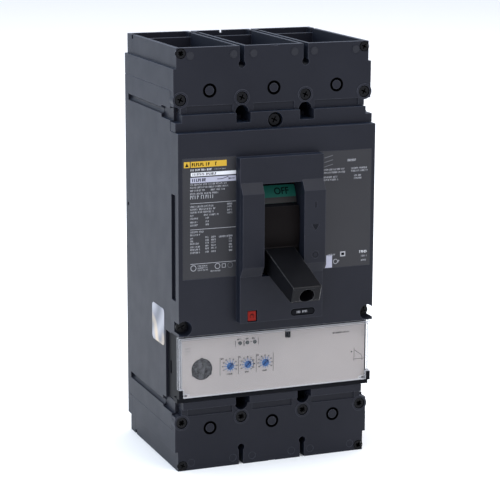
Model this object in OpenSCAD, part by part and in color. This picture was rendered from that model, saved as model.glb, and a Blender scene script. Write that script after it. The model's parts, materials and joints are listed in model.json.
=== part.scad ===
// Three-pole molded case breaker. +Z up, the front faces -Y, and the origin is the
// centre of the back mounting face. Depth is measured forward from that face.

/* [Case] */
// Width of the case
case_w = 140; // [138:1:142]
// Height over both terminal housings
case_h = 285; // [280:1:290]
// Distance between neighbouring poles
pole_pitch = 45; // [44:0.5:46]
// Vertical distance between panel mounting holes
mount_h = 200; // [199:0.5:201]
// Radius of the panel mounting holes
mount_r = 3.1; // [2.8:0.1:3.3]
// Thickness of the case walls
wall = 3; // [2.5:0.5:3]

/* [Depths] */
// Rear case
rear_d = 70; // [69:1:71]
// Middle case
mid_d = 95; // [94:1:96]
// Terminal housings
housing_d = 101.5; // [101:0.5:102]
// Main cover face
cover_d = 110; // [109.5:0.5:110.5]
// Outer surround of the toggle
surround_d = 117; // [116.5:0.5:117]
// Raised middle of the surround
ridge_d = 121.5; // [121:0.5:122]

/* [Toggle] */
// Swing of the toggle between OFF and ON, in degrees
toggle_swing = 40; // [38:1:41]
// Outer radius of the curved shutter
shutter_r = 53; // [52.5:0.25:53]
// Width of the handle
handle_w = 20; // [19:0.5:21]

/* [Contacts] */
// Opening angle of the contact arms at OFF, in degrees
arm_open = 40; // [38:1:41]
// Half the length of a contact arm
arm_half = 27; // [26:0.5:27]

/* [Trip unit] */
// Distance between neighbouring dials
dial_pitch = 12.7; // [12.5:0.1:13]
// Depth of the trip unit's faceplate
face_d = 106; // [105.8:0.1:106]

/* [Hidden] */
$fn = 48;
half_w = case_w / 2;
half_h = case_h / 2;
poles = [-pole_pitch, 0, pole_pitch];
partitions = [-pole_pitch / 2, pole_pitch / 2];
mount_z = mount_h / 2;
// Lower end of the terminal housings on the sides, and on the front
skirt_z = 114.5;
apron_z = 99.4;
// Height where the housings step in to their narrow ends
neck_z = 129.1;
neck_w = half_w - 2;
end_wall_z = 88;
plug_z = 114.2;
screw_z = 108.7;
// Where the main cover and the trip unit meet
cover_top = 88;
cover_low = -47;
trip_low = -94.1;
// Centre of the toggle pivot and of the contact rotors, as depth and height
pivot = [60, 22];
rotor = [28, 0];
rotor_r = 17;
journal_r = 15;
run_gap = 0.06;
gap = 0.3;
rod_r = 1.6;
rod_at = 11.5;
off_angle = toggle_swing / 2;
dial_z = -71.1;
dials = [-32.4, -32.4 + dial_pitch, -32.4 + 2 * dial_pitch];
lamps = [-25.2, -20, -14.6];
lamp_z = -56;
port = [-52.4, -71.4];
port_r = 7.1;
latch_z = -55.1;
button = [-20.8, -35.2];
rating = [15.5, -35.2];
// Low and high ends of the raised ridges, where they meet the surround
ridge_z = [-8.3, 54.5];
window_half = 14.2;
// The handle sits a little to the right of the middle of its window
handle_x = 1;
handle_top = 4.6;
handle_low = -9.6;
mark_x = 22.3;
screws_x = [-65.2, -22.5, 22.5, 65.2];
corner_x = 64.8;
corner_z = 138.9;
cover_screw_at = [66, -41.6];
// Return spring of the trip button, a helix worked out ring by ring
spring_turns = 5;
spring_steps = 20;
spring_sides = 6;
spring_r = 2.8;
spring_wire = 0.35;
spring_rise = 7;
trip_bar_at = [82, -45];
trip_bar_r = 1.8;
cover_pin = [107.6, -88.2];
cover_pin_r = 0.6;
lug_r = 9.5;
lug_at = 49;
set_screw_r = 5.5;
line_strap = [33, 37];
load_strap = [19, 23];
charcoal = [0.19, 0.2, 0.23];
dark = [0.08, 0.08, 0.09];
copper = [0.72, 0.45, 0.3];
steel = [0.62, 0.63, 0.65];
cream = [0.72, 0.7, 0.64];

// A block given by its low and high x, depth and z
module slab(x, d, z) {
    translate([x[0], -d[1], z[0]]) cube([x[1] - x[0], d[1] - d[0], z[1] - z[0]]);
}

// The same block centred on x = 0
module wide(half, d, z) {
    slab([-half, half], d, z);
}

// A round bar or hole along depth
module round_d(x, z, r, d) {
    translate([x, -d[0], z]) rotate([90, 0, 0]) cylinder(r = r, h = d[1] - d[0]);
}

// A round bar or hole along x, at a depth and height
module round_x(at, r, x) {
    translate([x[0], -at[0], at[1]]) rotate([0, 90, 0]) cylinder(r = r, h = x[1] - x[0]);
}

// A side outline in depth and height, extruded along x
module profile_x(x, points) {
    translate([x[1], 0, 0]) rotate([90, 0, -90]) linear_extrude(x[1] - x[0])
        polygon(points);
}

// Copies above and below the middle of the case
module top_and_bottom() {
    children();
    mirror([0, 0, 1]) children();
}

module left_and_right() {
    children();
    mirror([1, 0, 0]) children();
}

// Half-round channel and tab window along each side, by the terminal housings
module side_channels(d) {
    top_and_bottom() left_and_right()
        translate([half_w, -d[0], 99.5]) rotate([90, 0, 0]) cylinder(r = 2.2, h = d[1] - d[0]);
}

// Raised or sunk marks and prints: drawn as seen from the front, standing out from depth d
module at_front(at, d) {
    translate([at[0], -d, at[1]]) rotate([90, 0, 0]) children();
}

module mount_channel(r, d) {
    for (x = partitions) top_and_bottom() round_d(x, mount_z, r, d);
}

module rear_case() color(charcoal) difference() {
    union() {
        difference() {
            wide(half_w, [0, rear_d], [-skirt_z, skirt_z]);
            for (x = poles) slab([x - 20.5, x + 20.5], [4, rear_d + 1],
                [-end_wall_z + wall, end_wall_z - wall]);
            for (x = poles) top_and_bottom()
                slab([x - 20.5, x + 20.5], [4, rear_d + 1], [end_wall_z, skirt_z + 1]);
        }
        mount_channel(6.2, [0, rear_d]);
    }
    mount_channel(mount_r, [-1, rear_d + 1]);
    side_channels([7, rear_d + 1]);
    for (x = partitions) round_x(rotor, journal_r, [x - 3, x + 3]);
    for (x = poles) slab([x - 12.3, x + 12.3], [line_strap[0] - gap, line_strap[1] + gap],
        [end_wall_z - 8, end_wall_z + 1]);
    for (x = poles) slab([x - 12.3, x + 12.3], [line_strap[0] - gap, line_strap[1] + gap],
        [-end_wall_z - 1, -end_wall_z + 8]);
    left_and_right() slab([half_w - 1, half_w + 1], [3, 6], [22.5, 25]);
}

module front_case() color(charcoal) difference() {
    union() {
        difference() {
            union() {
                wide(half_w, [rear_d, mid_d], [-skirt_z, skirt_z]);
                wide(half_w - 0.2, [mid_d, 104.5], [cover_top + gap, 94.2]);
                wide(65.2, [mid_d, 104.5], [94, apron_z - gap]);
                wide(65.2, [mid_d, 104.5], [-apron_z + gap, trip_low]);
            }
            wide(half_w - wall, [rear_d - 1, 106], [trip_low + 0.2, end_wall_z - wall]);
            left_and_right()
                slab([half_w - wall - 1, half_w + 1], [83.7, mid_d + 1], [-95, -47.8]);
            for (x = poles) top_and_bottom() {
                slab([x - 20.5, x + 20.5], [rear_d - 1, mid_d + 1], [apron_z + 0.2, skirt_z + 1]);
                slab([x - 20.5, x + 20.5], [rear_d - 1, 92], [end_wall_z + 8, skirt_z + 1]);
            }
        }
        for (x = partitions) top_and_bottom() slab([x - 7, x + 7], [rear_d, mid_d], [94, 112]);
        left_and_right() top_and_bottom() round_d(65.2, screw_z, 3, [80, mid_d]);
    }
    for (x = partitions) top_and_bottom()
        slab([x - 5, x + 5], [rear_d + 4, mid_d + 1], [95.2, 104.8]);
    mount_channel(mount_r, [rear_d - 1, rear_d + 5]);
    for (x = screws_x) top_and_bottom() round_d(x, screw_z, 1.6, [83, 96]);
    for (x = partitions) top_and_bottom()
        slab([x - 5, x + 5], [mid_d - 8, 106], [92.5, 104]);
    side_channels([rear_d - 1, 83]);
    top_and_bottom() left_and_right() slab([half_w - 2.4, half_w + 1], [77.5, mid_d + 1], [95, 103]);
    round_d(0, 93.2, 5.2, [99, 106]);
    round_d(0, 93.2, 1.9, [90, 106]);
}

// Sloping sides that lead from the surround up to the raised ridges
module ridge_side() {
    rise = 1.54 * (ridge_d - surround_d);
    profile_x([window_half, 29.4], [[surround_d - 0.1, ridge_z[0]], [surround_d, ridge_z[0]],
        [ridge_d, ridge_z[0] + rise], [ridge_d, ridge_z[1] - rise], [surround_d, ridge_z[1]],
        [surround_d - 0.1, ridge_z[1]]]);
}

module front_cover() color(charcoal) difference() {
    union() {
        difference() {
            wide(half_w, [mid_d, cover_d], [cover_low, cover_top]);
            wide(half_w - wall, [mid_d - 1, cover_d - wall], [cover_low + 2.5, cover_top - wall]);
        }
        left_and_right() slab([60, half_w - 0.1], [mid_d, cover_d - 0.1], [cover_low + 0.1, -32]);
        wide(29.6, [cover_d - 1, surround_d], [-39.6, 71]);
        left_and_right() ridge_side();
        wide(17.5, [cover_d - 8, cover_d], [-15, 57]);
        slab([button[0] - 6.5, button[0] + 6.5], [cover_d - 12, cover_d], [-42, -28]);
    }
    wide(15, [cover_d - 9, 114.2], [-9.5, 53.3]);
    wide(window_half, [114, ridge_d + 1], [-9, 53.2]);
    wide(15, [cover_d - 9, cover_d - 2.8], [-14, 56]);
    left_and_right() slab([17.5, 26.5], [cover_d - 4, surround_d - wall], [-36, 68]);
    wide(18, [cover_d - 4, surround_d - wall], [58, 68]);
    slab([-12, 18], [cover_d - 4, surround_d - wall], [-26, -16]);
    slab([button[0] - 3.5, button[0] + 3.5], [cover_d - 13, surround_d + 1],
        [button[1] - 3.9, button[1] + 3.9]);
    at_front(rating, surround_d - 1) linear_extrude(2) rating_outline(0.15);
    left_and_right() {
        round_d(cover_screw_at[0], cover_screw_at[1], 5.3, [101, cover_d + 1]);
        round_d(cover_screw_at[0], cover_screw_at[1], 1.9, [mid_d - 1, 102]);
    }
    left_and_right() slab([half_w - 2.4, half_w + 1], [96.5, 104.5], [-24, 47]);
    // Shallow marks beside the handle: a bar, a triangle and a ring
    at_front([mark_x, 38], ridge_d - 0.3) linear_extrude(1) square([1.1, 4.4], center = true);
    at_front([mark_x, 22.8], ridge_d - 0.3) linear_extrude(1)
        polygon([[-3, 1.9], [3, 1.9], [0, -2.3]]);
    at_front([mark_x, 4.2], ridge_d - 0.3) linear_extrude(1) difference() {
        circle(r = 2.6);
        circle(r = 1.8);
    }
    slab([-67, -29.8], [cover_d - gap, cover_d + 1], [-8.6, 71.6]);
    slab([29.8, 67.4], [cover_d - gap, cover_d + 1], [-8.6, 71.1]);
}

// Rounded bar outline of the rating plate
module rating_outline(extra) {
    hull() left_and_right_2d() translate([6.3, 0]) circle(r = 2.3 + extra);
}

module left_and_right_2d() {
    children();
    mirror([1, 0]) children();
}

// Inner widths of the three wire cells of a terminal housing
module wire_cells(d, z) {
    wide(18.8, d, z);
    left_and_right() slab([26.2, 65.3], d, z);
}

// Slots between the phases, each with a round end
module phase_slots(d, half, end_r) {
    for (x = partitions) {
        slab([x - half, x + half], d, [130.5, half_h + 1]);
        round_d(x, 130.5, end_r, d);
    }
}

module hood_block(d) {
    wide(half_w, d, [skirt_z + 0.2, neck_z]);
    wide(neck_w, d, [neck_z - 1, half_h]);
}

module terminal_housing() color(charcoal) difference() {
    union() {
        hood_block([10, housing_d]);
        wide(half_w - 0.1, [mid_d + 0.2, housing_d], [apron_z + 5, skirt_z + 1]);
        wide(65.2, [mid_d + 0.2, housing_d], [apron_z, apron_z + 6]);
        for (x = screws_x) round_d(x, screw_z, 5.3, [mid_d + 0.2, housing_d + 0.4]);
    }
    wire_cells([13, housing_d - 3], [apron_z + 5, half_h + 1]);
    phase_slots([13, housing_d + 1], 1.65, 2.5);
    phase_slots([9, 14], 0.8, 1.2);
    wide(half_w + 1, [10 - 1, 13], [139.5, half_h + 1]);
    for (x = poles) {
        w = x == 0 ? 14.5 : 16;
        slab([x - w, x + w], [housing_d - 0.9, housing_d + 1], [apron_z - 1, 104.6]);
        round_d(x, plug_z, 4.45, [housing_d - 4, housing_d + 1]);
    }
    for (x = screws_x) {
        round_d(x, screw_z, 4, [housing_d - 2.3, housing_d + 1]);
        round_d(x, screw_z, 1.6, [mid_d - 1, housing_d]);
    }
    left_and_right() {
        round_d(corner_x, corner_z, 3.4, [housing_d - 2, housing_d + 1]);
        round_d(corner_x, corner_z, 1.3, [housing_d - 9, housing_d]);
    }
    // Faint ejector marks under the rim
    for (x = [-58.5, -28.5, -14.5, 14.5, 28.5, 58.5])
        round_d(x, 137.3, 2.5, [housing_d - 0.15, housing_d + 1]);
    for (x = partitions) round_d(x, 99.2, 4.6, [mid_d - 1, housing_d + 1]);
    wide(2.5, [housing_d - 0.6, housing_d + 1], [half_h - 0.8, half_h + 1]);
}

module top_terminal_housing() terminal_housing();
module bottom_terminal_housing() mirror([0, 0, 1]) terminal_housing();

module rear_barrier() color(charcoal) difference() {
    hood_block([0, 9.8]);
    wire_cells([2.5, 11], [skirt_z - 1, half_h + 1]);
    phase_slots([-1, 11], 0.8, 1.2);
    wide(0.9, [-1, 11], [140.6, half_h + 1]);
}

module top_rear_barrier() rear_barrier();
module bottom_rear_barrier() mirror([0, 0, 1]) rear_barrier();

// A screw with a cross recess, its head's front at the second depth
module cross_screw(x, z, head_r, shank_r, d) {
    difference() {
        union() {
            round_d(x, z, head_r, [d[1] - 2, d[1]]);
            round_d(x, z, shank_r, [d[0], d[1] - 1]);
        }
        for (turn = [25, 115]) translate([x, -d[1] + 0.7, z]) rotate([0, turn, 0])
            cube([head_r * 1.25, 1.6, 1], center = true);
    }
}

module housing_screws() color(dark) top_and_bottom() for (x = screws_x)
    cross_screw(x, screw_z, 3.4, 1.5, [84, housing_d - 0.2]);

module corner_screws() color(dark) top_and_bottom() left_and_right()
    cross_screw(corner_x, corner_z, 2.9, 1.2, [94, housing_d + 0.2]);

module cover_screws() color(dark) {
    cross_screw(0, 93.2, 3.7, 1.8, [91, 102.4]);
    left_and_right() cross_screw(cover_screw_at[0], cover_screw_at[1], 3.6, 1.8, [96, 103.2]);
}

module access_plugs() color(charcoal) top_and_bottom() for (x = poles) {
    round_d(x, plug_z, 4.35, [housing_d - 3, housing_d - 2.2]);
    round_d(x, plug_z, 3, [housing_d - 3, housing_d - 0.1]);
}

// Conductors, lugs and screws of the terminals

module line_contacts() color(copper) for (x = poles) difference() {
    union() {
        slab([x - 12, x + 12], line_strap, [22, 126]);
        slab([x - 8, x + 8], [line_strap[0] - 2.2, line_strap[0] + 1], [22, 28]);
    }
    round_d(x, 118, 3.2, [line_strap[0] - 1, line_strap[1] + 1]);
}

module load_contacts() color(copper) for (x = poles) difference() {
    union() {
        slab([x - 12, x + 12], load_strap, [-64, -22]);
        slab([x - 8, x + 8], [load_strap[1] - 1, load_strap[1] + 2.2], [-28, -22]);
        slab([x - 12, x + 12], [load_strap[0], line_strap[1]], [-64, -60]);
        slab([x - 12, x + 12], line_strap, [-126, -60]);
    }
    round_d(x, -118, 3.2, [line_strap[0] - 1, line_strap[1] + 1]);
}

module lug(x) difference() {
    slab([x - 15, x + 15], [line_strap[1], 72], [102, 128]);
    translate([x, -lug_at, 101]) cylinder(r = lug_r, h = 28);
    round_d(x, plug_z, set_screw_r, [lug_at, 73]);
}

module line_lugs() color(steel) for (x = poles) lug(x);
module load_lugs() color(steel) mirror([0, 0, 1]) for (x = poles) lug(x);

module lug_screws() color(steel) top_and_bottom() for (x = poles) difference() {
    round_d(x, plug_z, set_screw_r - 0.05, [lug_at + lug_r + 0.8, 74]);
    round_d(x, plug_z, 2.9, [66, 75]);
}

// Contact system of each pole
module about_rotor(angle) {
    translate([0, -rotor[0], rotor[1]]) rotate([angle, 0, 0]) children();
}

module pole_cartridge(x) color([0.35, 0.27, 0.2]) difference() {
    slab([x - 17, x + 17], [5, 51], [-56, 56]);
    slab([x - 15, x + 15], [7, 49], [-54, 54]);
    round_x(rotor, journal_r, [x - 18, x + 18]);
    slab([x - 12.3, x + 12.3], [line_strap[0] - gap, line_strap[1] + gap], [53, 57]);
    slab([x - 12.3, x + 12.3], [load_strap[0] - gap, load_strap[1] + gap], [-57, -53]);
    for (z = [-44, 44]) slab([x - 10, x + 10], [48, 52], [z - 5, z + 5]);
}

module pole_cartridge_left() pole_cartridge(poles[0]);
module pole_cartridge_middle() pole_cartridge(poles[1]);
module pole_cartridge_right() pole_cartridge(poles[2]);

module contact_rotor(x) color([0.5, 0.16, 0.12]) difference() {
    union() {
        round_x(rotor, rotor_r, [x - 14, x + 14]);
        round_x(rotor, journal_r - run_gap, [x - 17, x + 17]);
    }
    about_rotor(-arm_open) translate([x, 0, 0]) cube([9.6, 5.6, 2 * rotor_r + 2], center = true);
    about_rotor(-arm_open) for (side = [-1, 1]) translate([x - 18, side * rod_at, 0])
        rotate([0, 90, 0]) cylinder(r = rod_r + 0.05, h = 36);
}

module rotor_left() contact_rotor(poles[0]);
module rotor_middle() contact_rotor(poles[1]);
module rotor_right() contact_rotor(poles[2]);

module contact_arm(x) color(copper) about_rotor(-arm_open) translate([x, 0, 0]) union() {
    cube([9, 5, 2 * arm_half - 4], center = true);
    for (side = [-1, 1]) translate([0, -side * 0.5, side * (arm_half - 3)])
        cube([9, 4, 6], center = true);
}

module contact_arm_left() contact_arm(poles[0]);
module contact_arm_middle() contact_arm(poles[1]);
module contact_arm_right() contact_arm(poles[2]);

module drive_rods() color(steel) about_rotor(-arm_open) for (side = [-1, 1])
    translate([-62, side * rod_at, 0]) rotate([0, 90, 0]) cylinder(r = rod_r, h = 124);

// The same thing at the line end, and turned half round the rotor at the load end
module both_chutes() {
    children();
    about_rotor(180) translate([0, rotor[0], -rotor[1]]) children();
}

module arc_plates() color(steel) both_chutes() for (x = poles, i = [0:6])
    translate([x, -9 - 2.7 * i, 0]) rotate([90, 0, 0]) linear_extrude(1.2)
        polygon([[-12.5, 33], [-5, 33], [0, 43], [5, 33], [12.5, 33], [12.5, 52], [-12.5, 52]]);

module arc_chute_frames() color([0.6, 0.35, 0.2]) both_chutes() for (x = poles, side = [-1, 1])
    slab([x + side * 13.6 - 0.8, x + side * 13.6 + 0.8], [8, 29], [31, 53]);

// Operating mechanism. Local x is forward and local y is up, from the toggle pivot.
module from_pivot(angle = 0) {
    translate([0, -pivot[0], pivot[1]]) rotate([90, 0, -90]) rotate([0, 0, angle]) children();
}

// A curved band around the pivot, between two angles
module band(radii, angles, x) {
    from_pivot(angles[0]) rotate_extrude(angle = angles[1] - angles[0])
        translate([radii[0], x[0]]) square([radii[1] - radii[0], x[1] - x[0]]);
}

module mechanism_side_plates() color(steel) difference() {
    left_and_right() profile_x([16, 17.6], [[51.3, -12], [51.3, 46], [66, 58], [90, 52],
        [90, 20], [86, -10], [86, -47.6], [78, -47.6], [72, -18]]);
    round_x(pivot, 3, [-18, 18]);
    round_x(trip_bar_at, trip_bar_r + run_gap, [-18, 18]);
    for (at = [[56, 38], [80, 45], [56, -6]]) round_x(at, 2, [-18, 18]);
}

module mechanism_pins() color(steel) {
    round_x(pivot, 3, [-17.9, 17.9]);
    round_x([56, -6], 2, [-17.9, 17.9]);
}

module toggle_yoke() color(steel) difference() {
    union() {
        left_and_right() from_pivot(-off_angle) translate([0, 0, 11]) linear_extrude(2)
            polygon([[-5, -5], [8, -7], [44, -7], [44, 7], [8, 7], [-5, 5]]);
        from_pivot(-off_angle) translate([42, -7, -11.5]) cube([2, 14, 23]);
        from_pivot(-off_angle) translate([38, 0, -11.5]) cylinder(r = 1.4, h = 23);
        from_pivot(-off_angle) translate([10, 0, -11.5]) cylinder(r = 1.4, h = 23);
    }
    round_x(pivot, 3 + run_gap, [-18, 18]);
}

// A drum of channel section: the band joins two cheeks that turn on the pivot pin
module toggle_drum() color(dark) difference() {
    union() {
        from_pivot(-76) rotate_extrude(angle = 114) polygon([[4, 13.4], [46.5, 13.4],
            [46.5, -13.4], [4, -13.4], [4, -14.5], [49, -14.5], [49, 14.5], [4, 14.5]]);
        left_and_right() round_x(pivot, 6, [13.3, 14.6]);
    }
    round_x(pivot, 3 + run_gap, [-18, 18]);
    handle_slot();
}

// The slot in the drum and shutter that the handle stands in
module handle_slot() {
    clear = 0.2;
    from_pivot(-off_angle)
        translate([44, handle_low - clear, -handle_w / 2 - 0.6 - handle_x - clear])
            cube([12, handle_top - handle_low + 2 * clear, handle_w + 1.2 + 2 * clear]);
}

// The shutter closes the slot above and below the handle
module toggle_shutter() color([0.14, 0.11, 0.1]) difference() {
    union() {
        band([50.6, shutter_r], [-57, 15.7], [-14.5, 14.5]);
        band([52, shutter_r + 0.6], [-15.2, -14.3], [-13.8, 13.8]);
    }
    handle_slot();
}

module toggle_handle() color(dark) from_pivot(-off_angle) difference() {
    intersection() {
        translate([0, 0, -15]) linear_extrude(30)
            polygon([[44.2, handle_top], [58, handle_top + 0.1], [102.5, 5.6], [104, 4.4],
                [104, -3.6], [102.6, -5.8], [58, handle_low], [44.2, handle_low]]);
        rotate([-90, 0, 0]) translate([0, 0, -15]) linear_extrude(30)
            translate([0, handle_x]) polygon([[44.2, handle_w / 2 + 0.6], [103, handle_w / 2],
                [104, handle_w / 2 - 1], [104, 1 - handle_w / 2], [103, -handle_w / 2],
                [44.2, -handle_w / 2 - 0.6]]);
    }
    translate([88, -0.7, -handle_x]) rotate([0, 90, 0]) cylinder(r = 5, h = 20);
}

module off_flag() color([0.1, 0.35, 0.28]) band([49.2, 50.2], [18.5, 32.6], [-14.4, 14.4]);

// Closely wound tension springs between the yoke's two cross pins
module main_springs() color(steel) left_and_right() from_pivot(-off_angle)
    translate([14.6, 0, 6]) rotate([0, 90, 0]) for (i = [0:7])
        translate([0, 0, 2.5 * i + 1.2]) rotate_extrude() translate([3.1, 0]) circle(r = 1.3);

module drive_links() color(steel) left_and_right() about_rotor(-arm_open) difference() {
    rotate([arm_open, 0, 0]) link_outline();
    translate([17, -rod_at, 0]) rotate([0, 90, 0]) cylinder(r = rod_r + run_gap, h = 5);
}

// The link reaches forward from the front drive rod, where it lies at OFF
module link_outline() {
    foot = [rod_at * cos(arm_open), rod_at * sin(arm_open)];
    translate([18.2, 0, 0]) rotate([90, 0, 90]) linear_extrude(1.8) difference() {
        polygon([[-foot[0] + 4, foot[1] - 4], [-foot[0] + 4, foot[1] + 4],
            [-foot[0] - 21, foot[1] + 7], [-foot[0] - 24, foot[1] + 5],
            [-foot[0] - 24, foot[1] - 1], [-foot[0] - 21, foot[1] - 3]]);
        translate([-foot[0] - 20, foot[1] + 2]) circle(r = 2.2);
    }
}

module trip_bar() color([0.2, 0.2, 0.22]) round_x(trip_bar_at, trip_bar_r, [-64, 64]);

module trip_lever() color(steel) difference() {
    union() {
        round_x(trip_bar_at, 2.7, [-23.5, -18.6]);
        slab([-23.5, -18.6], [trip_bar_at[0] - 1.2, trip_bar_at[0] + 1.2], [-45, -32]);
    }
    round_x(trip_bar_at, trip_bar_r, [-24, -18]);
}

// Trip unit
module trip_unit_case() color(dark) difference() {
    union() {
        wide(66.4, [71, 84], [-91.5, -48]);
        wide(68.3, [84, 104], [-93.7, -47.9]);
        wide(half_w - 0.3, [98, 105], [-93.7, -90.4]);
    }
    wide(64.5, [73, 105], [-89.8, -50]);
    left_and_right() slab([67.4, 69], [88, 91], [-77, -68]);
}

// Three-lobed outline of the test port and its cut-out
module port_outline(extra) {
    circle(r = port_r + extra);
    for (a = [90, 210, 330]) rotate([0, 0, a]) translate([port_r - 0.6, 0]) circle(r = 1.3 + extra);
}

module trip_faceplate() color(cream) difference() {
    wide(66.4, [104, face_d], [-90.2, -50]);
    for (x = dials) round_d(x, dial_z, 3, [103, 107]);
    for (x = lamps) round_d(x, lamp_z, 1.35, [103, 107]);
    at_front(port, 103) linear_extrude(4) port_outline(0.1);
    slab([7.4, 11.4], [103, 107], [latch_z - 0.2, -49]);
}

module test_port_plug() color([0.35, 0.35, 0.36]) difference() {
    at_front(port, 101) linear_extrude(face_d + 0.5 - 101) port_outline(0);
    for (a = [90, 210, 330]) at_front(port + 3.6 * [cos(a), sin(a)], face_d + 0.1)
        cylinder(r = 0.7, h = 1);
}

module dial(x) color([0.25, 0.45, 0.75]) difference() {
    union() {
        round_d(x, dial_z, 2.9, [100.2, face_d + 0.6]);
        round_d(x, dial_z, 3.7, [100.2, 103.5]);
    }
    translate([x, -face_d - 0.4, dial_z]) rotate([0, 45, 0]) cube([4.6, 1.2, 0.9], center = true);
}

module dial_left() dial(dials[0]);
module dial_middle() dial(dials[1]);
module dial_right() dial(dials[2]);

module status_lamps() color([0.3, 0.4, 0.3]) for (x = lamps)
    round_d(x, lamp_z, 1.3, [100, face_d + 0.3]);

module seal_latch() color(dark) difference() {
    slab([8, 10.8], [100, face_d + 1.2], [latch_z, -50.1]);
    slab([7, 9], [face_d - 0.5, face_d + 1.2], [latch_z - 1, latch_z + 2]);
    round_x([105, -52.4], 0.7, [7, 12]);
}

module clear_cover() color([0.8, 0.85, 0.88, 0.4]) difference() {
    union() {
        difference() {
            wide(69.4, [104.3, 109], [-89.5, -48.4]);
            wide(67.9, [103, 107.4], [-91, -49.9]);
            left_and_right() slab([66.4, 70], [104, 110], [-90, -83.8]);
        }
        left_and_right() slab([63.4, 66.4], [106.6, 108], [-89.2, -87.1]);
    }
    left_and_right() round_x(cover_pin, cover_pin_r + run_gap, [62, 67]);
}

module cover_hinge_clips() color(dark) left_and_right() {
    slab([66.8, half_w - 0.4], [104, 108.8], [-90.1, -84.1]);
    round_x(cover_pin, cover_pin_r, [63.8, 67]);
}

module current_transformers() color([0.15, 0.2, 0.3]) for (x = poles) difference() {
    slab([x - 18, x + 18], [20, 50], [-84, -68]);
    slab([x - 12.6, x + 12.6], [line_strap[0] - 0.6, line_strap[1] + 0.6], [-85, -67]);
}

module circuit_board() color([0.1, 0.35, 0.15]) {
    wide(62, [97, 98.6], [-88, -52]);
    for (x = [-58, -10, 16, 44]) slab([x, x + 9], [92, 97], [-70, -61]);
    slab([-44, -30], [94.5, 97], [-84, -74]);
}

module trip_actuator() color(steel) translate([30, -83, -86]) {
    cylinder(r = 8, h = 28);
    cylinder(r = 2, h = 35);
}

module trip_button() color([0.75, 0.12, 0.1]) {
    slab([button[0] - 3, button[0] + 3], [108.5, 116.4], [button[1] - 3.4, button[1] + 3.4]);
    slab([button[0] - 1.6, button[0] + 1.6], [trip_bar_at[0] + 1.7, 109],
        [button[1] - 1.5, button[1] + 1.5]);
}

function spring_corner(i, j) =
    let (turn = 360 * i / spring_steps, side = 360 * j / spring_sides,
        r = spring_r + spring_wire * cos(side))
    [r * cos(turn), r * sin(turn),
        spring_rise * i / (spring_turns * spring_steps) + spring_wire * sin(side)];

module button_spring() color(steel)
    translate([button[0], -100.5, button[1]]) rotate([90, 0, 0]) polyhedron(
        [for (i = [0:spring_turns * spring_steps], j = [0:spring_sides - 1]) spring_corner(i, j)],
        concat([[for (j = [0:spring_sides - 1]) j]],
            [for (i = [0:spring_turns * spring_steps - 1], j = [0:spring_sides - 1])
                let (a = i * spring_sides, k = (j + 1) % spring_sides)
                [a + j, a + spring_sides + j, a + spring_sides + k, a + k]],
            [[for (j = [spring_sides - 1:-1:0]) spring_turns * spring_steps * spring_sides + j]]));

module rating_plate() color(dark) at_front(rating, surround_d - 1) linear_extrude(0.9)
    rating_outline(0);

module left_label() color([0.25, 0.25, 0.25])
    slab([-66.9, -29.9], [cover_d - gap, cover_d], [-8.5, 71.5]);

module right_label() color([0.25, 0.25, 0.25])
    slab([29.9, 67.3], [cover_d - gap, cover_d], [-8.5, 71]);

module side_sticker() color([0.8, 0.8, 0.78]) hull() for (d = [59, 78], z = [-57, -37.5])
    round_x([d, z], 3, [-half_w - 0.2, -half_w]);

rear_case();
front_case();
front_cover();
top_terminal_housing();
bottom_terminal_housing();
top_rear_barrier();
bottom_rear_barrier();
housing_screws();
corner_screws();
cover_screws();
access_plugs();
line_contacts();
load_contacts();
line_lugs();
load_lugs();
lug_screws();
pole_cartridge_left();
pole_cartridge_middle();
pole_cartridge_right();
rotor_left();
rotor_middle();
rotor_right();
contact_arm_left();
contact_arm_middle();
contact_arm_right();
drive_rods();
arc_plates();
arc_chute_frames();
mechanism_side_plates();
mechanism_pins();
toggle_yoke();
toggle_drum();
toggle_shutter();
toggle_handle();
off_flag();
main_springs();
drive_links();
trip_bar();
trip_lever();
trip_unit_case();
trip_faceplate();
test_port_plug();
dial_left();
dial_middle();
dial_right();
status_lamps();
seal_latch();
clear_cover();
cover_hinge_clips();
current_transformers();
circuit_board();
trip_actuator();
trip_button();
button_spring();
rating_plate();
left_label();
right_label();
side_sticker();
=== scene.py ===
"""The looks of a molded case breaker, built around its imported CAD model."""
import json
import math
import random

import bmesh
import bpy
from mathutils import Matrix, Vector


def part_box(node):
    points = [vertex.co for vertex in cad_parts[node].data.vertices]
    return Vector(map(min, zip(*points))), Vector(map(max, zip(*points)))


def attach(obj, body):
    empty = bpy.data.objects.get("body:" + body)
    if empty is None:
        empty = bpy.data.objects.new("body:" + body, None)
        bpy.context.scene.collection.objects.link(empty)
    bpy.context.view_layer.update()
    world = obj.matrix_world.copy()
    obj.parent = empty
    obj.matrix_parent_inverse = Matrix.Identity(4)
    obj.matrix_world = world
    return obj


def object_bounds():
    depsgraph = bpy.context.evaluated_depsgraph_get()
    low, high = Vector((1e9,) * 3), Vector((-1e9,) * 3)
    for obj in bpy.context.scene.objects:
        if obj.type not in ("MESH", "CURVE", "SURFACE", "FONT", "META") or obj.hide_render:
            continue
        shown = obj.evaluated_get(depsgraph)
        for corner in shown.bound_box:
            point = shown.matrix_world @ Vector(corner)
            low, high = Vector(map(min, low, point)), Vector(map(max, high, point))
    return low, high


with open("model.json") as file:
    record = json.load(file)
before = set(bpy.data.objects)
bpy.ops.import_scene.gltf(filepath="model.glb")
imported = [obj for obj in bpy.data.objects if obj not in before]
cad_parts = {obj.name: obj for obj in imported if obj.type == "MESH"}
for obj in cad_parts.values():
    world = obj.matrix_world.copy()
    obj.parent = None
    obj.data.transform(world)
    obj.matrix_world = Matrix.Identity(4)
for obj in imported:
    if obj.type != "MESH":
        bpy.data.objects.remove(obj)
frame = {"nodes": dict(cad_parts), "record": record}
cad_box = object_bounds()
NODES = frame["nodes"]
MM = 0.001


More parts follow.
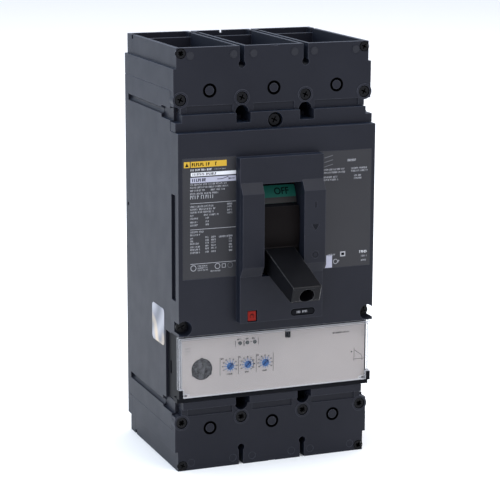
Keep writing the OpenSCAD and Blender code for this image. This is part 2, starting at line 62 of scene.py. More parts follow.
# ---------------------------------------------------------------- camera, floor and light

CAMERA_AZIMUTH = math.radians(21.5)
CAMERA_PITCH = math.radians(12.3)
CAMERA_ROLL = math.radians(0.2)
CAMERA_DISTANCE = 1.3206
CAMERA_TARGET = Vector((0.0018, -0.055, -0.0047))
CAMERA_LENS = 137.3
SENSOR_WIDTH = 36
FLOOR_SIZE = 12.0


def add_camera():
    data = bpy.data.cameras.new("camera")
    data.lens = CAMERA_LENS
    data.sensor_width = SENSOR_WIDTH
    data.clip_end = 50
    camera = bpy.data.objects.new("camera", data)
    bpy.context.scene.collection.objects.link(camera)
    forward = Vector((
        math.sin(CAMERA_AZIMUTH) * math.cos(CAMERA_PITCH),
        math.cos(CAMERA_AZIMUTH) * math.cos(CAMERA_PITCH),
        -math.sin(CAMERA_PITCH),
    ))
    camera.location = CAMERA_TARGET - forward * CAMERA_DISTANCE
    turn = forward.to_track_quat("-Z", "Y").to_matrix().to_4x4()
    camera.rotation_euler = (turn @ Matrix.Rotation(CAMERA_ROLL, 4, "Z")).to_euler()
    bpy.context.scene.camera = camera


def add_floor():
    bpy.ops.mesh.primitive_plane_add(size=FLOOR_SIZE, location=(0, 0, cad_box[0][2]))
    floor = bpy.context.object
    floor.name = "floor"
    material = bpy.data.materials.new("floor_paper")
    material.use_nodes = True
    bsdf = material.node_tree.nodes["Principled BSDF"]
    bsdf.inputs["Base Color"].default_value = (0.99, 0.98, 0.965, 1)
    bsdf.inputs["Roughness"].default_value = 0.9
    bsdf.inputs["Specular IOR Level"].default_value = 0.1
    floor.data.materials.append(material)


def add_area_light(name, place, target, size, power, colour=(1, 1, 1)):
    data = bpy.data.lights.new(name, "AREA")
    data.shape = "RECTANGLE"
    data.size, data.size_y = size
    data.energy = power
    data.color = colour
    light = bpy.data.objects.new(name, data)
    light.location = place
    light.rotation_euler = (Vector(target) - Vector(place)).to_track_quat("-Z", "Y").to_euler()
    light.visible_camera = False
    bpy.context.scene.collection.objects.link(light)


def add_lights():
    world = bpy.data.worlds.new("studio")
    world.use_nodes = True
    sky = world.node_tree.nodes["Background"]
    sky.inputs["Color"].default_value = (0.86, 0.92, 1.06, 1)
    sky.inputs["Strength"].default_value = 0.92
    bpy.context.scene.world = world
    bpy.context.scene.view_settings.view_transform = "Standard"
    add_area_light("key", (-1.5, -0.5, 1.3), (0, -0.05, 0.05), (1.0, 1.0), 13, (0.7, 0.87, 1))
    add_area_light("rim", (-1.3, 1.6, 0.9), (0, -0.05, 0.05), (1.2, 1.2), 6, (0.55, 0.78, 1))
    add_area_light("front_top", (0.55, -1.15, 1.6), (0, -0.1, 0), (1.0, 0.5), 9)
    add_area_light("top", (0.2, 0.4, 2.0), (0.1, 0.4, 0), (3.0, 3.0), 40, (1, 0.97, 0.93))


add_camera()
add_floor()
add_lights()


# ---------------------------------------------------------------- materials

GRAIN_SCALE = 2600.0
GRAIN_STRENGTH = 0.12
# Radius within which a face counts as an edge, in metres
# Plastic edges within this radius get a painted highlight, partly handling scuffs
LIT_AND_WORN_EDGE = 0.0005
CLEAR_EDGE = 0.001
# Nominal bump heights, in metres
GRAIN_HEIGHT = 0.00006
BRUSHED_HEIGHT = 0.00003
HAZE_HEIGHT = 0.00004
SPECK_HEIGHT = 0.0001
INK_HEIGHT = 0.00002


class Nodes:
    """A short way to wire a material's node tree."""

    def __init__(self, name):
        self.material = bpy.data.materials.new(name)
        self.material.use_nodes = True
        self.tree = self.material.node_tree
        self.bsdf = self.tree.nodes["Principled BSDF"]

    def add(self, kind, **sockets):
        node = self.tree.nodes.new(kind)
        for key, value in sockets.items():
            node.inputs[key.replace("_", " ")].default_value = value
        return node

    def link(self, source, target):
        self.tree.links.new(source, target)

    def math(self, operation, first, second=0.0):
        node = self.add("ShaderNodeMath")
        node.operation = operation
        for socket, value in zip(node.inputs, (first, second)):
            if isinstance(value, (int, float)):
                socket.default_value = value
            else:
                self.link(value, socket)
        return node.outputs[0]

    def ramp(self, source, low, high, start, end):
        node = self.add("ShaderNodeMapRange")
        self.link(source, node.inputs["Value"])
        node.inputs["From Min"].default_value = low
        node.inputs["From Max"].default_value = high
        node.inputs["To Min"].default_value = start
        node.inputs["To Max"].default_value = end
        return node.outputs["Result"]

    def mix(self, factor, first, second):
        node = self.add("ShaderNodeMix")
        node.data_type = "RGBA"
        sockets = node.inputs[0], node.inputs[6], node.inputs[7]
        for socket, value in zip(sockets, (factor, first, second)):
            if isinstance(value, (int, float)):
                socket.default_value = value
            elif isinstance(value, tuple):
                socket.default_value = (*value[:3], 1)
            else:
                self.link(value, socket)
        return node.outputs[2]

    def noise(self, scale, detail=3.0, roughness=0.5):
        node = self.add("ShaderNodeTexNoise", Scale=scale, Detail=detail, Roughness=roughness)
        self.link(self.place(), node.inputs["Vector"])
        return node.outputs["Fac"]

    def place(self):
        if not hasattr(self, "coordinates"):
            self.coordinates = self.add("ShaderNodeTexCoord").outputs["Object"]
        return self.coordinates

    def edge(self, radius):
        """1 on sharp or bevelled edges, 0 on flat faces."""
        bevel = self.add("ShaderNodeBevel", Radius=radius)
        bevel.samples = 6
        normal = self.add("ShaderNodeNewGeometry").outputs["Normal"]
        dot = self.add("ShaderNodeVectorMath")
        dot.operation = "DOT_PRODUCT"
        self.link(bevel.outputs[0], dot.inputs[0])
        self.link(normal, dot.inputs[1])
        return self.ramp(dot.outputs["Value"], 0.997, 0.93, 0.0, 1.0)

    def bump(self, height, strength, distance):
        node = self.add("ShaderNodeBump", Strength=strength, Distance=distance)
        self.link(height, node.inputs["Height"])
        self.link(node.outputs[0], self.bsdf.inputs["Normal"])


def plastic(name, colour, roughness=0.47, specular=0.2, edge_highlight_and_wear=0.4, spread=0.08, edge_highlight_lift=0.05, sheen=0.0):
    """Moulded plastic: spark-eroded grain, slow flow variation, and a painted highlight on edges, in noisy
    patches that also stand for handling scuffs.
    """
    n = Nodes(name)
    slow = n.noise(22.0, 4.0)
    fine = n.noise(GRAIN_SCALE, 2.0, 0.6)
    lighter = tuple(c * (1 + spread) + 0.002 for c in colour)
    darker = tuple(c * (1 - spread) for c in colour)
    base = n.mix(n.ramp(slow, 0.3, 0.7, 0.0, 1.0), darker, lighter)
    # Painted highlight: edges are lightened towards a brighter copy of the colour, in noisy patches that
    # also stand for handling scuffs
    if edge_highlight_and_wear:
        edge = n.edge(LIT_AND_WORN_EDGE)
        patches = n.ramp(n.noise(160.0, 4.0, 0.7), 0.3, 0.7, edge_highlight_and_wear * 0.5, edge_highlight_and_wear)
        highlight_and_wear = n.math("MULTIPLY", edge, patches)
        base = n.mix(highlight_and_wear, base, tuple(min(1.0, c * 3 + edge_highlight_lift) for c in colour))
    n.link(base, n.bsdf.inputs["Base Color"])
    gloss = n.ramp(n.noise(70.0, 3.0), 0.3, 0.7, roughness - 0.02, roughness + 0.03)
    n.link(gloss, n.bsdf.inputs["Roughness"])
    n.bsdf.inputs["Specular IOR Level"].default_value = specular
    n.bsdf.inputs["Sheen Weight"].default_value = sheen
    n.bsdf.inputs["Sheen Roughness"].default_value = 0.3
    n.bsdf.inputs["Sheen Tint"].default_value = (0.2, 0.5, 1, 1)
    n.bump(fine, GRAIN_STRENGTH, GRAIN_HEIGHT)
    return n.material


def metal(name, colour, roughness):
    """Plated or bare metal with fine brushing and faint stains."""
    n = Nodes(name)
    streak = n.add("ShaderNodeTexNoise", Scale=900.0, Detail=3.0)
    mapping = n.add("ShaderNodeMapping")
    mapping.inputs["Scale"].default_value = (1, 1, 0.04)
    n.link(n.place(), mapping.inputs["Vector"])
    n.link(mapping.outputs[0], streak.inputs["Vector"])
    stains = n.ramp(n.noise(60.0, 5.0, 0.6), 0.45, 0.75, 0.0, 0.25)
    base = n.mix(stains, colour, tuple(c * 0.45 for c in colour))
    n.link(base, n.bsdf.inputs["Base Color"])
    n.bsdf.inputs["Metallic"].default_value = 1.0
    gloss = n.ramp(streak.outputs["Fac"], 0.2, 0.8, roughness - 0.08, roughness + 0.12)
    n.link(gloss, n.bsdf.inputs["Roughness"])
    n.bump(streak.outputs["Fac"], 0.2, BRUSHED_HEIGHT)
    return n.material


def clear_plastic(name):
    """Thin clear polycarbonate: faint haze on its faces, and a painted highlight along its edges, where it
    turns pale and opaque.
    """
    n = Nodes(name)
    n.bsdf.inputs["Base Color"].default_value = (0.5, 0.5, 0.52, 1)
    n.bsdf.inputs["Specular IOR Level"].default_value = 0.6
    haze = n.ramp(n.noise(70.0, 4.0), 0.35, 0.75, 0.005, 0.02)
    # Painted highlight: the cover grows opaque and pale on its edges
    n.link(n.math("MAXIMUM", haze, n.math("MULTIPLY", n.edge(CLEAR_EDGE), 0.9)), n.bsdf.inputs["Alpha"])
    n.link(n.ramp(n.noise(90.0, 4.0), 0.35, 0.75, 0.08, 0.16), n.bsdf.inputs["Roughness"])
    n.bump(n.noise(240.0, 2.0), 0.05, HAZE_HEIGHT)
    return n.material


def sticker_film(name):
    """Silvery film in wide sweeps from slate to silver, with a painted highlight of pale gold laid over part
    of it.
    """
    n = Nodes(name)
    wave = n.add("ShaderNodeTexWave", Scale=16.0, Distortion=5.0, Detail=1.5)
    wave.wave_type = "RINGS"
    mapping = n.add("ShaderNodeMapping", Location=(0, 0.05, 0.03))
    n.link(n.place(), mapping.inputs["Vector"])
    n.link(mapping.outputs[0], wave.inputs["Vector"])
    sweep = n.mix(wave.outputs["Fac"], (0.13, 0.14, 0.17), (0.36, 0.36, 0.4))
    # Painted highlight: a pale gold patch over the sweeps
    warm_highlight = n.mix(n.ramp(n.noise(48.0, 1.0), 0.52, 0.62, 0.0, 0.9), sweep, (0.62, 0.5, 0.36))
    n.link(warm_highlight, n.bsdf.inputs["Base Color"])
    n.bsdf.inputs["Metallic"].default_value = 0.1
    n.bsdf.inputs["Roughness"].default_value = 0.35
    n.bsdf.inputs["Specular IOR Level"].default_value = 0.2
    n.bump(n.noise(900.0, 2.0), 0.1, BRUSHED_HEIGHT)
    return n.material


def speckled(name, dark, light):
    """Coarse moulding compound, speckled light and dark."""
    n = Nodes(name)
    speck = n.ramp(n.noise(420.0, 5.0, 0.75), 0.46, 0.58, 0.0, 1.0)
    n.link(n.mix(speck, dark, light), n.bsdf.inputs["Base Color"])
    n.bsdf.inputs["Roughness"].default_value = 0.6
    n.bsdf.inputs["Specular IOR Level"].default_value = 0.15
    n.bump(speck, 0.4, SPECK_HEIGHT)
    return n.material


def ink(name, colour, roughness=0.5, specular=0.3):
    """Printed ink: an even coat that thins a little here and there."""
    n = Nodes(name)
    thin = n.ramp(n.noise(700.0, 4.0, 0.6), 0.45, 0.8, 0.0, 0.35)
    n.link(n.mix(thin, colour, tuple(c * 0.8 for c in colour)), n.bsdf.inputs["Base Color"])
    n.bsdf.inputs["Roughness"].default_value = roughness
    n.bsdf.inputs["Specular IOR Level"].default_value = specular
    n.bump(n.noise(1800.0, 2.0), 0.1, INK_HEIGHT)
    return n.material


CHARCOAL = (0.0074, 0.008, 0.0134)
# Each plastic's edge values below set the strength of its painted edge highlight; the handle's is the
# brightest
MATERIALS = {
    "case_plastic": plastic("case_plastic", CHARCOAL, edge_highlight_and_wear=0.75, sheen=0.06),
    "black_plastic": plastic("black_plastic", (0.004, 0.0044, 0.0062), 0.45, 0.05),
    "handle_plastic": plastic("handle_plastic", (0.0036, 0.0036, 0.0046), 0.3, 0.13, edge_highlight_and_wear=1.0, edge_highlight_lift=0.14),
    # The shutter's dark brown is darkened further as painted shade for the well it sits in
    "shutter_plastic": plastic("shutter_plastic", (0.0042, 0.0028, 0.0027), 0.5, 0.06),
    "cartridge_plastic": plastic("cartridge_plastic", (0.12, 0.08, 0.05), 0.6),
    "rotor_plastic": plastic("rotor_plastic", (0.22, 0.05, 0.035), 0.55),
    "fibre_board": plastic("fibre_board", (0.35, 0.2, 0.11), 0.8),
    "face_plastic": plastic("face_plastic", (0.335, 0.305, 0.29), 0.5, 0.3, edge_highlight_and_wear=0, spread=0.02),
    "port_plastic": speckled("port_plastic", (0.034, 0.034, 0.036), (0.082, 0.082, 0.086)),
    "blue_plastic": plastic("blue_plastic", (0.032, 0.1, 0.25), 0.4, 0.2),
    "green_plastic": plastic("green_plastic", (0.006, 0.085, 0.062), 0.5),
    "red_plastic": plastic("red_plastic", (0.2, 0.011, 0.007), 0.42, 0.08, edge_highlight_and_wear=0.3),
    "lamp_plastic": plastic("lamp_plastic", (0.06, 0.064, 0.064), 0.3, 0.3, edge_highlight_and_wear=0),
    "label_film": plastic("label_film", (0.0215, 0.021, 0.024), 0.45, 0.3, edge_highlight_and_wear=0, spread=0.05),
    "board_plastic": plastic("board_plastic", (0.02, 0.14, 0.05), 0.4),
    "coil_plastic": plastic("coil_plastic", (0.03, 0.05, 0.12), 0.4),
    "copper": metal("copper", (0.72, 0.34, 0.2), 0.35),
    "steel": metal("steel", (0.55, 0.56, 0.58), 0.3),
    "dark_steel": plastic("dark_steel", (0.0042, 0.0042, 0.005), 0.34, 0.12, edge_highlight_and_wear=0.2),
    "lug_metal": metal("lug_metal", (0.42, 0.43, 0.45), 0.42),
    "clear_plastic": clear_plastic("clear_plastic"),
    "sticker_film": sticker_film("sticker_film"),
}
INKS = {
    "white": ink("white_ink", (0.72, 0.72, 0.74)),
    "grey": ink("grey_ink", (0.36, 0.36, 0.38)),
    "dim": ink("dim_ink", (0.11, 0.11, 0.12)),
    "lilac": ink("lilac_ink", (0.4, 0.4, 0.48)),
    "yellow": ink("yellow_ink", (0.56, 0.34, 0.025)),
    "pale": ink("pale_ink", (0.33, 0.31, 0.3)),
    "edge": ink("rim_highlight_ink", (0.34, 0.34, 0.36), 0.3),
    "haze": ink("haze_ink", (0.22, 0.21, 0.205)),
    "black": ink("black_ink", (0.003, 0.003, 0.004), specular=0.04),
    "brown": ink("brown_ink", (0.022, 0.02, 0.018)),
    "mark": ink("mark_ink", (0.0045, 0.005, 0.008), specular=0.12),
    # Near-black for painted shade in recesses and round heads and plugs, and for the rating plate's dark
    # outline
    "gap": ink("outline_and_shade_ink", (0.0005, 0.0005, 0.0005), 0.9, 0.0),
    "charcoal": ink("charcoal_ink", (0.0125, 0.013, 0.018)),
    "arrow": ink("arrow_ink", (0.012, 0.03, 0.1)),
    "blue": ink("blue_ink", (0.045, 0.13, 0.32)),
}


# ---------------------------------------------------------------- CAD nodes

# Edge rounding of the pieces that get one, in metres
ROUNDING = {
    "rear_case": 0.0006, "front_case": 0.0005, "front_cover": 0.0005,
    "top_terminal_housing": 0.0005, "bottom_terminal_housing": 0.0005,
    "top_rear_barrier": 0.0004, "bottom_rear_barrier": 0.0004,
    "toggle_handle": 0.001, "toggle_shutter": 0.0004, "trip_unit_case": 0.0004,
    "trip_faceplate": 0.0002, "trip_button": 0.0004, "test_port_plug": 0.0003,
    "clear_cover": 0.0004, "cover_hinge_clips": 0.0003, "line_lugs": 0.0006,
    "load_lugs": 0.0006, "seal_latch": 0.0003,
}
# Vertices closer than this are one, in metres
WELD_DISTANCE = 0.000002
# Faces flatter than this are one, edges sharper than the next are rounded, in degrees
FLAT_ANGLE = 0.5
ROUNDED_ANGLE = 26
SMOOTH_ANGLE = 35


def finish_node(name, slot_name):
    """Gives a CAD node its material and, where ROUNDING lists it, rounded edges."""
    piece = NODES[name]
    piece.data.materials.clear()
    piece.data.materials.append(MATERIALS[slot_name])
    if name in ROUNDING:
        merge = piece.modifiers.new("merge", "WELD")
        merge.merge_threshold = WELD_DISTANCE
        flatten = piece.modifiers.new("flatten", "DECIMATE")
        flatten.decimate_type = "DISSOLVE"
        flatten.angle_limit = math.radians(FLAT_ANGLE)
        bevel = piece.modifiers.new("round", "BEVEL")
        bevel.width = ROUNDING[name]
        bevel.segments = 2
        bevel.limit_method = "ANGLE"
        bevel.angle_limit = math.radians(ROUNDED_ANGLE)
        bevel.use_clamp_overlap = True
        shade = piece.modifiers.new("shade", "WEIGHTED_NORMAL")
        shade.weight = 80
    for polygon in piece.data.polygons:
        polygon.use_smooth = True
    if name not in ROUNDING:
        bpy.context.view_layer.objects.active = piece
        piece.select_set(True)
        bpy.ops.object.shade_auto_smooth(angle=math.radians(SMOOTH_ANGLE))
        piece.select_set(False)


for row in frame["record"]["subparts"]:
    finish_node(row["node"], row["material_slot"])


# ---------------------------------------------------------------- printed marks, painted shade and painted highlights


def add_mesh(name, vertices, faces, material, body="case"):
    """A thin piece of the scene's own, riding with one CAD body."""
    mesh = bpy.data.meshes.new(name)
    mesh.from_pydata(vertices, [], faces)
    mesh.materials.append(material)
    piece = bpy.data.objects.new(name, mesh)
    bpy.context.scene.collection.objects.link(piece)
    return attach(piece, body)


# How far the inks printed last stand in front of the others, in millimetres
OVERPRINT = {"blue": 0.015, "arrow": 0.03, "black": 0.03, "dim": 0.03}
# Degrees between a ring's corners, and the corners of a dot
RING_STEP = 12
DOT_CORNERS = 16


def middle_of(node):
    """Across and up of the middle of a CAD node, and half its width, in millimetres."""
    low, high = (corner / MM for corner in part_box(node))
    return (low.x + high.x) / 2, (low.z + high.z) / 2, (high.x - low.x) / 2


class Sheet:
    """Ink on one flat front face. Places are in millimetres across and up that face.

    The face is a CAD node's front or, given as a number, a depth in millimetres.
    """

    def __init__(self, name, node, seed=0, lift=0.04):
        self.name = name
        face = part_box(node)[0].y if isinstance(node, str) else -node * MM
        self.front = face - lift * MM
        self.random = random.Random(seed)
        self.shapes = {}

    def shape(self, colour, points):
        vertices, faces = self.shapes.setdefault(colour, ([], []))
        faces.append(tuple(range(len(vertices), len(vertices) + len(points))))
        front = self.front - OVERPRINT.get(colour, 0) * MM
        vertices.extend((x * MM, front, z * MM) for x, z in points)

    def bar(self, colour, left, right, low, high):
        self.shape(colour, [(left, low), (right, low), (right, high), (left, high)])

    def line(self, colour, start, end, width=0.25):
        along = Vector((end[0] - start[0], end[1] - start[1]))
        side = Vector((-along.y, along.x)).normalized() * width / 2
        a, b = Vector(start), Vector(end)
        self.shape(colour, [a - side, b - side, b + side, a + side])

    def ring(self, colour, centre, radius, width=0.35, start=0, end=360):
        steps = max(3, round((end - start) / RING_STEP))
        turns = [math.radians(start + (end - start) * i / steps) for i in range(steps + 1)]
        for a, b in zip(turns, turns[1:]):
            self.shape(colour, [
                (centre[0] + r * math.cos(t), centre[1] + r * math.sin(t))
                for r, t in ((radius - width, a), (radius, a), (radius, b), (radius - width, b))
            ])

    def dot(self, colour, centre, radius):
        turns = [math.tau * i / DOT_CORNERS for i in range(DOT_CORNERS)]
        self.shape(colour, [
            (centre[0] + radius * math.cos(t), centre[1] + radius * math.sin(t)) for t in turns
        ])

    def words(self, colour, left, right, middle, height=1.2):
        """A row of letter-like strokes that spell nothing."""
        step = height * 0.66
        pen = height * (0.25 if colour == "black" else 0.17)
        low, high = middle - height / 2, middle + height / 2
        at = left
        letters = self.random.randint(3, 8)
        while at + step * 0.7 <= right:
            if letters == 0:
                letters = self.random.randint(3, 8)
                at += step * 0.7
                continue
            kind = self.random.randrange(4)
            wide = step * 0.68
            self.bar(colour, at, at + pen, low, high)
            if kind != 0:
                level = self.random.choice((low, middle - pen / 2, high - pen))
                self.bar(colour, at + pen, at + wide, level, level + pen)
            if kind > 1:
                self.bar(colour, at + wide - pen, at + wide, low if kind == 2 else middle, high)
            at += step
            letters -= 1

    def build(self, body="case"):
        for colour, (vertices, faces) in self.shapes.items():
            add_mesh(f"{self.name}_{colour}", vertices, faces, INKS[colour], body)


def print_left_label():
    sheet = Sheet("left_print", "left_label", 11)
    left, right = -61.7, -29.9
    sheet.bar("yellow", -66, -61.9, 65.7, 69.6)
    sheet.bar("yellow", -61.3, -36.4, 65.7, 69.6)
    sheet.shape("black", [(-65.2, 66.3), (-62.7, 66.3), (-63.95, 68.9)])
    sheet.words("black", -60.5, -47, 67.6, 2.2)
    sheet.words("black", -44.4, -42, 67.6, 2.4)
    sheet.words("white", -61.3, -46.7, 64.0, 1.3)
    sheet.words("grey", -45, -37, 64.0, 0.6)
    sheet.bar("white", -61.2, right, 59.9, 62.3)
    sheet.words("black", -60, -43.5, 61.1, 1.6)
    sheet.bar("lilac", -61.5, right, 55.5, 59.1)
    sheet.words("black", -60.3, -50.5, 57.3, 2.1)
    switch_symbol = (
        ((-43, 57.3), (-39.5, 57.3)),
        ((-39.5, 57.3), (-35.2, 58.6)),
        ((-34.6, 57.3), (-30.8, 57.3)),
    )
    for start, end in switch_symbol:
        sheet.line("black", start, end, 0.4)
    sheet.line("black", (-35.2, 56.7), (-34.0, 57.9), 0.35)
    sheet.line("black", (-35.2, 57.9), (-34.0, 56.7), 0.35)
    # The level of each row and where it ends
    rows = (
        (54.4, -35.6), (52.5, -34), (50.5, -51.2), (48.4, -41.3), (39.9, -45.6), (38.0, -44.2),
        (36.1, -44.5), (34.0, -59.2), (32.0, -56.3), (29.6, -56.3), (27.6, -56.3), (23.0, -51.8),
        (21.1, -54.7), (18.8, -59.4), (17.0, -59.4), (15.3, -55), (13.1, -54.7), (11.3, -54.7),
        (9.3, -54.7),
    )
    for middle, end in rows:
        sheet.words("grey", left, end, middle)
    sheet.words("grey", -47.4, -37.8, 50.5)
    sheet.words("grey", left, -43.3, 46.1, 2.4)
    sheet.words("grey", -52.2, -41.3, 34.0)
    for middle in (32.0, 29.6, 27.6):
        sheet.words("grey", -51, -48.3, middle)
    for middle in (40.4, 38.6, 36.4, 34.5):
        sheet.words("grey", -36, -31.8, middle)
    for middle in (19.1, 17.2, 15.4, 13.4, 11.6, 9.4):
        sheet.words("grey", -51.2, -48.3, middle)
        sheet.words("grey", -47.1, -43.6, middle)
        sheet.words("grey", -34.7, -31.8, middle - 0.1)
    sheet.words("grey", -41.7, -31.8, 18.9)
    for level in (42.0, 24.7, 1.7):
        sheet.line("grey", (left, level), (right, level), 0.3)
    sheet.ring("grey", (-59.6, -1.1), 2.0)
    sheet.ring("grey", (-42.8, -0.8), 1.9)
    sheet.ring("dim", (-33.9, -0.8), 1.9)
    for side in (-1.2, 1.2):
        sheet.line("grey", (-38.4 + side, -2), (-38.4 + side, 0.4), 0.3)
        sheet.line("grey", (-39.6, -0.8 + side), (-37.2, -0.8 + side), 0.3)
    for middle in (0.1, -1.3, -2.7):
        sheet.words("grey", -56.6, -49.3, middle, 0.9)
    sheet.words("grey", -47.7, -40.7, -3.9, 0.9)
    sheet.build()


def print_right_label():
    sheet = Sheet("right_print", "right_label", 12)
    for level in (61.4, 64.4, 67.4):
        sheet.line("dim", (33, level - 0.8), (39.2, level + 0.8), 0.5)
    sheet.words("grey", 50, 57.2, 64.2, 1.6)
    # Where each row starts and ends, and its level
    rows = (
        (33, 48.2, 58.6), (33, 48.2, 56.6), (52.7, 65, 58.6), (52.7, 65, 56.8), (32.8, 43.2, 53.5),
        (32.8, 43.2, 51.7), (54.9, 60.3, 53.6), (54.9, 60.3, 51.8), (36.3, 41.7, 0.4),
        (61, 66, -2.0), (61, 66, -5.0),
    )
    for left, right, middle in rows:
        sheet.words("grey", left, right, middle)
    sheet.words("white", 59.6, 66, 1.0, 1.8)
    sheet.bar("grey", 45.4, 49.2, -1.3, 2.1)
    sheet.bar("black", 46.2, 48.4, -0.5, 1.3)
    sheet.shape("lilac", [(34.3, -8.4), (39.5, -8.4), (39.5, 0.2), (35.2, 0.2), (35.2, -6)])
    sheet.ring("grey", (42.0, -4.4), 1.7)
    sheet.words("grey", 43.9, 45.6, -4.4, 1.8)
    sheet.build()


DIALS = ("dial_left", "dial_middle", "dial_right")


def print_faceplate():
    sheet = Sheet("face_print", "trip_faceplate", 13)
    for across in (-39.5, -26.4, -13.5, -1.2):
        sheet.line("black", (across, -64.8), (across, -77.4), 0.25)
    for left, right, middle in ((-38.9, -36.7, -65.7), (-26, -24.2, -65.5), (-13.2, -11.8, -65.4)):
        sheet.words("black", left, right, middle, 1.1)
    for left, right, middle in ((-34.6, -30.4, -76.6), (-21.6, -18.6, -76.4), (-8.9, -5.7, -76.6)):
        sheet.words("black", left, right, middle, 1.0)
    dials = [Vector(middle_of(name)[:2]) for name in DIALS]
    for centre in dials:
        for turn in range(-120, 121, 30):
            way = Vector((math.sin(math.radians(turn)), math.cos(math.radians(turn))))
            sheet.line("blue", centre + way * 3.0, centre + way * 4.3, 0.4)
            number = centre + way * 5.1
            sheet.words("black", number.x - 0.55, number.x + 0.55, number.y, 0.9)
    sheet.ring("black", dials[1], 4.5, 0.3, -60, 50)
    lamp_rules = ((-28.5, -58.5, -54), (-22.8, -58.1, -54.3), (-22.0, -58.1, -54.3), (-12.0, -58.1, -53.4))
    for across, low, high in lamp_rules:
        sheet.line("black", (across, low), (across, high), 0.25)
    for left, right in ((-27.2, -23.7), (-21.1, -19.1), (-16.6, -14.0)):
        sheet.words("black", left, right, -53.3, 1.0)
    sheet.words("black", -17.9, -16.5, -55.6, 0.6)
    sheet.words("black", 42.5, 55.2, -55.3, 1.1)
    curve = [(58.9, -68.8), (63.9, -72.4), (64.7, -74.0), (64.7, -76.6)]
    axes = (((58.7, -76.8), (58.7, -67.1)), ((57.8, -75.2), (66.6, -75.2)))
    for start, end in [*zip(curve, curve[1:]), *axes]:
        sheet.line("black", start, end, 0.25)
    sheet.dot("black", (56.8, -69.8), 0.5)
    sheet.build()


def print_rating_plate():
    sheet = Sheet("plate_print", "rating_plate", 14)
    low, high = (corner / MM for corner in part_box("rating_plate"))
    middle = (low.z + high.z) / 2
    reach = (high.z - low.z) / 2
    sheet.ring("gap", (high.x - reach, middle), reach, 0.4, -90, 90)
    sheet.ring("gap", (low.x + reach, middle), reach, 0.4, 90, 270)
    for level in (low.z + 0.2, high.z - 0.2):
        sheet.line("gap", (low.x + reach, level), (high.x - reach, level), 0.4)
    sheet.words("grey", low.x + 4.3, high.x - 4.3, middle, 1.6)
    sheet.build()


def print_clear_cover():
    """Painted highlights along the clear cover's rim, and its faint moulded marks."""
    low, high = (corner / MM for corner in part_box("clear_cover"))
    sheet = Sheet("cover_rim", "clear_cover", 15, lift=0.02)
    left, right, top, bottom = -69.3, 69.3, high.z - 0.25, low.z + 6
    # Painted highlights: light lines along the rim's top and sides, with the inner top one in the haze ink
    sheet.line("edge", (left, top), (right, top), 0.3)
    sheet.line("haze", (left + 1.5, top - 1.5), (right - 1.5, top - 1.5), 0.3)
    for across, inward in ((left, 1.6), (right, -1.6)):
        sheet.line("edge", (across, bottom), (across, top), 0.25)
        sheet.line("edge", (across + inward, bottom), (across + inward, top - 1.4), 0.25)
    for across, up in ((-62.8, -57.4), (64.7, -56)):
        for step in (-1.8, 0, 1.8):
            sheet.words("haze", across - 2.2, across + 2.2, up + step, 1.1)
    sheet.build("clear_cover")


def print_dials():
    """A pale rim with blue ticks on each dial, and a dark arrow painted as the shade of the slot across it.
    """
    for name in DIALS:
        across, up, reach = middle_of(name)
        centre = Vector((across, up))
        sheet = Sheet(f"{name}_print", name, lift=0.02)
        sheet.ring("pale", (across, up), reach * 0.98, reach * 0.3)
        for turn in range(0, 360, 30):
            way = Vector((math.cos(math.radians(turn)), math.sin(math.radians(turn))))
            sheet.line("blue", centre + way * reach * 0.66, centre + way * reach, 0.4)
        tip = (across + reach * 0.5, up + reach * 0.5)
        tail = (across - reach * 0.45, up - reach * 0.45)
        # Painted shade: the dark arrow stands for the shade inside the dial's slot
        sheet.line("arrow", tail, tip, 0.8)
        sheet.line("arrow", tip, (across + reach * 0.5, up - reach * 0.1), 0.6)
        sheet.line("arrow", tip, (across - reach * 0.1, up + reach * 0.5), 0.6)
        sheet.build(name)


# The sheet for each screw's painted slot shade, the node or depth that its heads end at, and each head's
# place and radius
SCREW_HEADS = (
    (
        "housing_screws", "housing_screws",
        [(x, z, 3.4) for x in (-65.2, -22.5, 22.5, 65.2) for z in (-108.7, 108.7)],
    ),
    ("corner_screws", "corner_screws", [(x, z, 2.9) for x in (-64.8, 64.8) for z in (-138.9, 138.9)]),
    ("top_cover_screw", 102.4, [(0, 93.2, 3.7)]),
)
PLUG_RADIUS = 4.35


def print_case_marks():
    """Ejector marks on the top housing, painted shadows round the plugs, port and screw heads, painted shade
    in the screws' crosses, the button's mark.
    """
    top = Sheet("top_marks", "top_terminal_housing")
    for across in (-58.5, -28.5, -14.5, 14.5, 28.5, 58.5):
        top.dot("charcoal", (across, 137.3), 2.5)
    top.build()
    low, high = (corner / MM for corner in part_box("access_plugs"))
    plugs = Sheet("plug_groove_shadows", "access_plugs", lift=0.14)
    for across in (low.x + PLUG_RADIUS, 0, high.x - PLUG_RADIUS):
        for up in (low.z + PLUG_RADIUS, high.z - PLUG_RADIUS):
            # Painted shadow: a dark ring in the groove round each plug, spilling onto the housing
            plugs.ring("gap", (across, up), 4.7, 1.5)
    plugs.build()
    port = Sheet("port_gap", "trip_faceplate", lift=0.02)
    low, high = (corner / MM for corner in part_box("test_port_plug"))
    reach = (high.x - low.x) / 2
    # Painted shadow: a dark ring round the test port plug
    port.ring("black", ((low.x + high.x) / 2, low.z + reach), reach + 0.25, 0.4)
    port.build()
    for name, depth, spots in SCREW_HEADS:
        slot_shade = Sheet(f"{name}_slots", depth, lift=0.02)
        for across, up, reach in spots:
            # Painted shade: a dark cross in each head's slot, and a dark ring round the head
            for turn in (25, 115):
                centre = Vector((across, up))
                way = Vector((math.cos(math.radians(turn)), -math.sin(math.radians(turn)))) * reach * 0.62
                slot_shade.line("gap", centre - way, centre + way, 0.9)
            slot_shade.ring("gap", (across, up), reach + 0.55, 0.5)
        slot_shade.build()
    button = Sheet("button_mark", "trip_button")
    across, up, _ = middle_of("trip_button")
    button.ring("black", (across, up), 1.5, 0.35, -60, 240)
    button.line("black", (across, up), (across, up + 1.8), 0.35)
    button.build("trip_button")


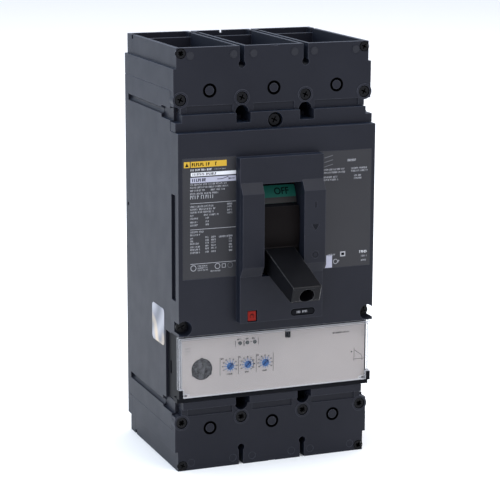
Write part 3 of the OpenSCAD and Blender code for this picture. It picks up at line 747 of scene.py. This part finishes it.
# The curved flag's radius, the ridges' depth, and the toggle pivot's depth and height
FLAG_RADIUS = 50.25
RIDGE_DEPTH = 121.5
PIVOT = (60, 22)
# The strip starts here and covers this much of the flag, in degrees above straight ahead
STRIP_START = 18.5
STRIP_SPAN = 4.5
STRIP_STEPS = 8
# The word's middle on the flag: degrees up, and millimetres across
WORD_TURN = 27.6
WORD_ACROSS = 4.5
WORD_NARROWING = 0.92


def on_flag(across, turn):
    """A point on the flag's curved face, turned up from straight ahead by an angle in radians."""
    return (
        across * MM,
        -(PIVOT[0] + FLAG_RADIUS * math.cos(turn)) * MM,
        (PIVOT[1] + FLAG_RADIUS * math.sin(turn)) * MM,
    )


def print_flag_strip():
    """The dull strip under the flag's coloured part."""
    low, high = (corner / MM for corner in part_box("off_flag"))
    vertices, faces = [], []
    for step in range(STRIP_STEPS + 1):
        turn = math.radians(STRIP_START + STRIP_SPAN * step / STRIP_STEPS)
        vertices += [on_flag(low.x, turn), on_flag(high.x, turn)]
        if step:
            faces.append((2 * step - 2, 2 * step - 1, 2 * step + 1, 2 * step))
    add_mesh("flag_strip", vertices, faces, INKS["brown"], "toggle")


def print_handle_marks():
    """The three dark marks on the ridge beside the handle: a bar, a triangle and a ring."""
    marks = Sheet("handle_marks", RIDGE_DEPTH)
    marks.line("mark", (22.3, 35.9), (22.3, 40.1), 0.9)
    marks.shape("mark", [(20.1, 24.9), (22.3, 20.7), (24.5, 24.9)])
    marks.ring("mark", (22.3, 4.2), 1.9, 0.45)
    marks.build()


def print_off_word():
    """OFF on the curved flag, bent round the toggle's pivot."""
    curve = bpy.data.curves.new("off_word", "FONT")
    curve.body = "OFF"
    curve.align_x = "CENTER"
    curve.align_y = "CENTER"
    curve.size = 6.6 * MM
    curve.offset = 0.12 * MM
    word = bpy.data.objects.new("off_word", curve)
    bpy.context.scene.collection.objects.link(word)
    bpy.context.view_layer.update()
    flat = bpy.data.meshes.new_from_object(word)
    bpy.data.objects.remove(word)
    work = bmesh.new()
    work.from_mesh(flat)
    for level in range(-6, 7):
        parts = work.verts[:] + work.edges[:] + work.faces[:]
        height = level * 0.5 * MM
        bmesh.ops.bisect_plane(work, geom=parts, plane_co=(0, height, 0), plane_no=(0, 1, 0))
    for vertex in work.verts:
        across, up = vertex.co.x / MM, vertex.co.y / MM
        turn = math.radians(WORD_TURN) + up / FLAG_RADIUS
        vertex.co = on_flag(across * WORD_NARROWING + WORD_ACROSS, turn)
    work.to_mesh(flat)
    work.free()
    flat.materials.clear()
    flat.materials.append(INKS["black"])
    piece = bpy.data.objects.new("off_letters", flat)
    bpy.context.scene.collection.objects.link(piece)
    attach(piece, "toggle")


# ---------------------------------------------------------------- build

print_left_label()
print_right_label()
print_faceplate()
print_rating_plate()
print_clear_cover()
print_dials()
print_case_marks()
print_flag_strip()
print_handle_marks()
print_off_word()
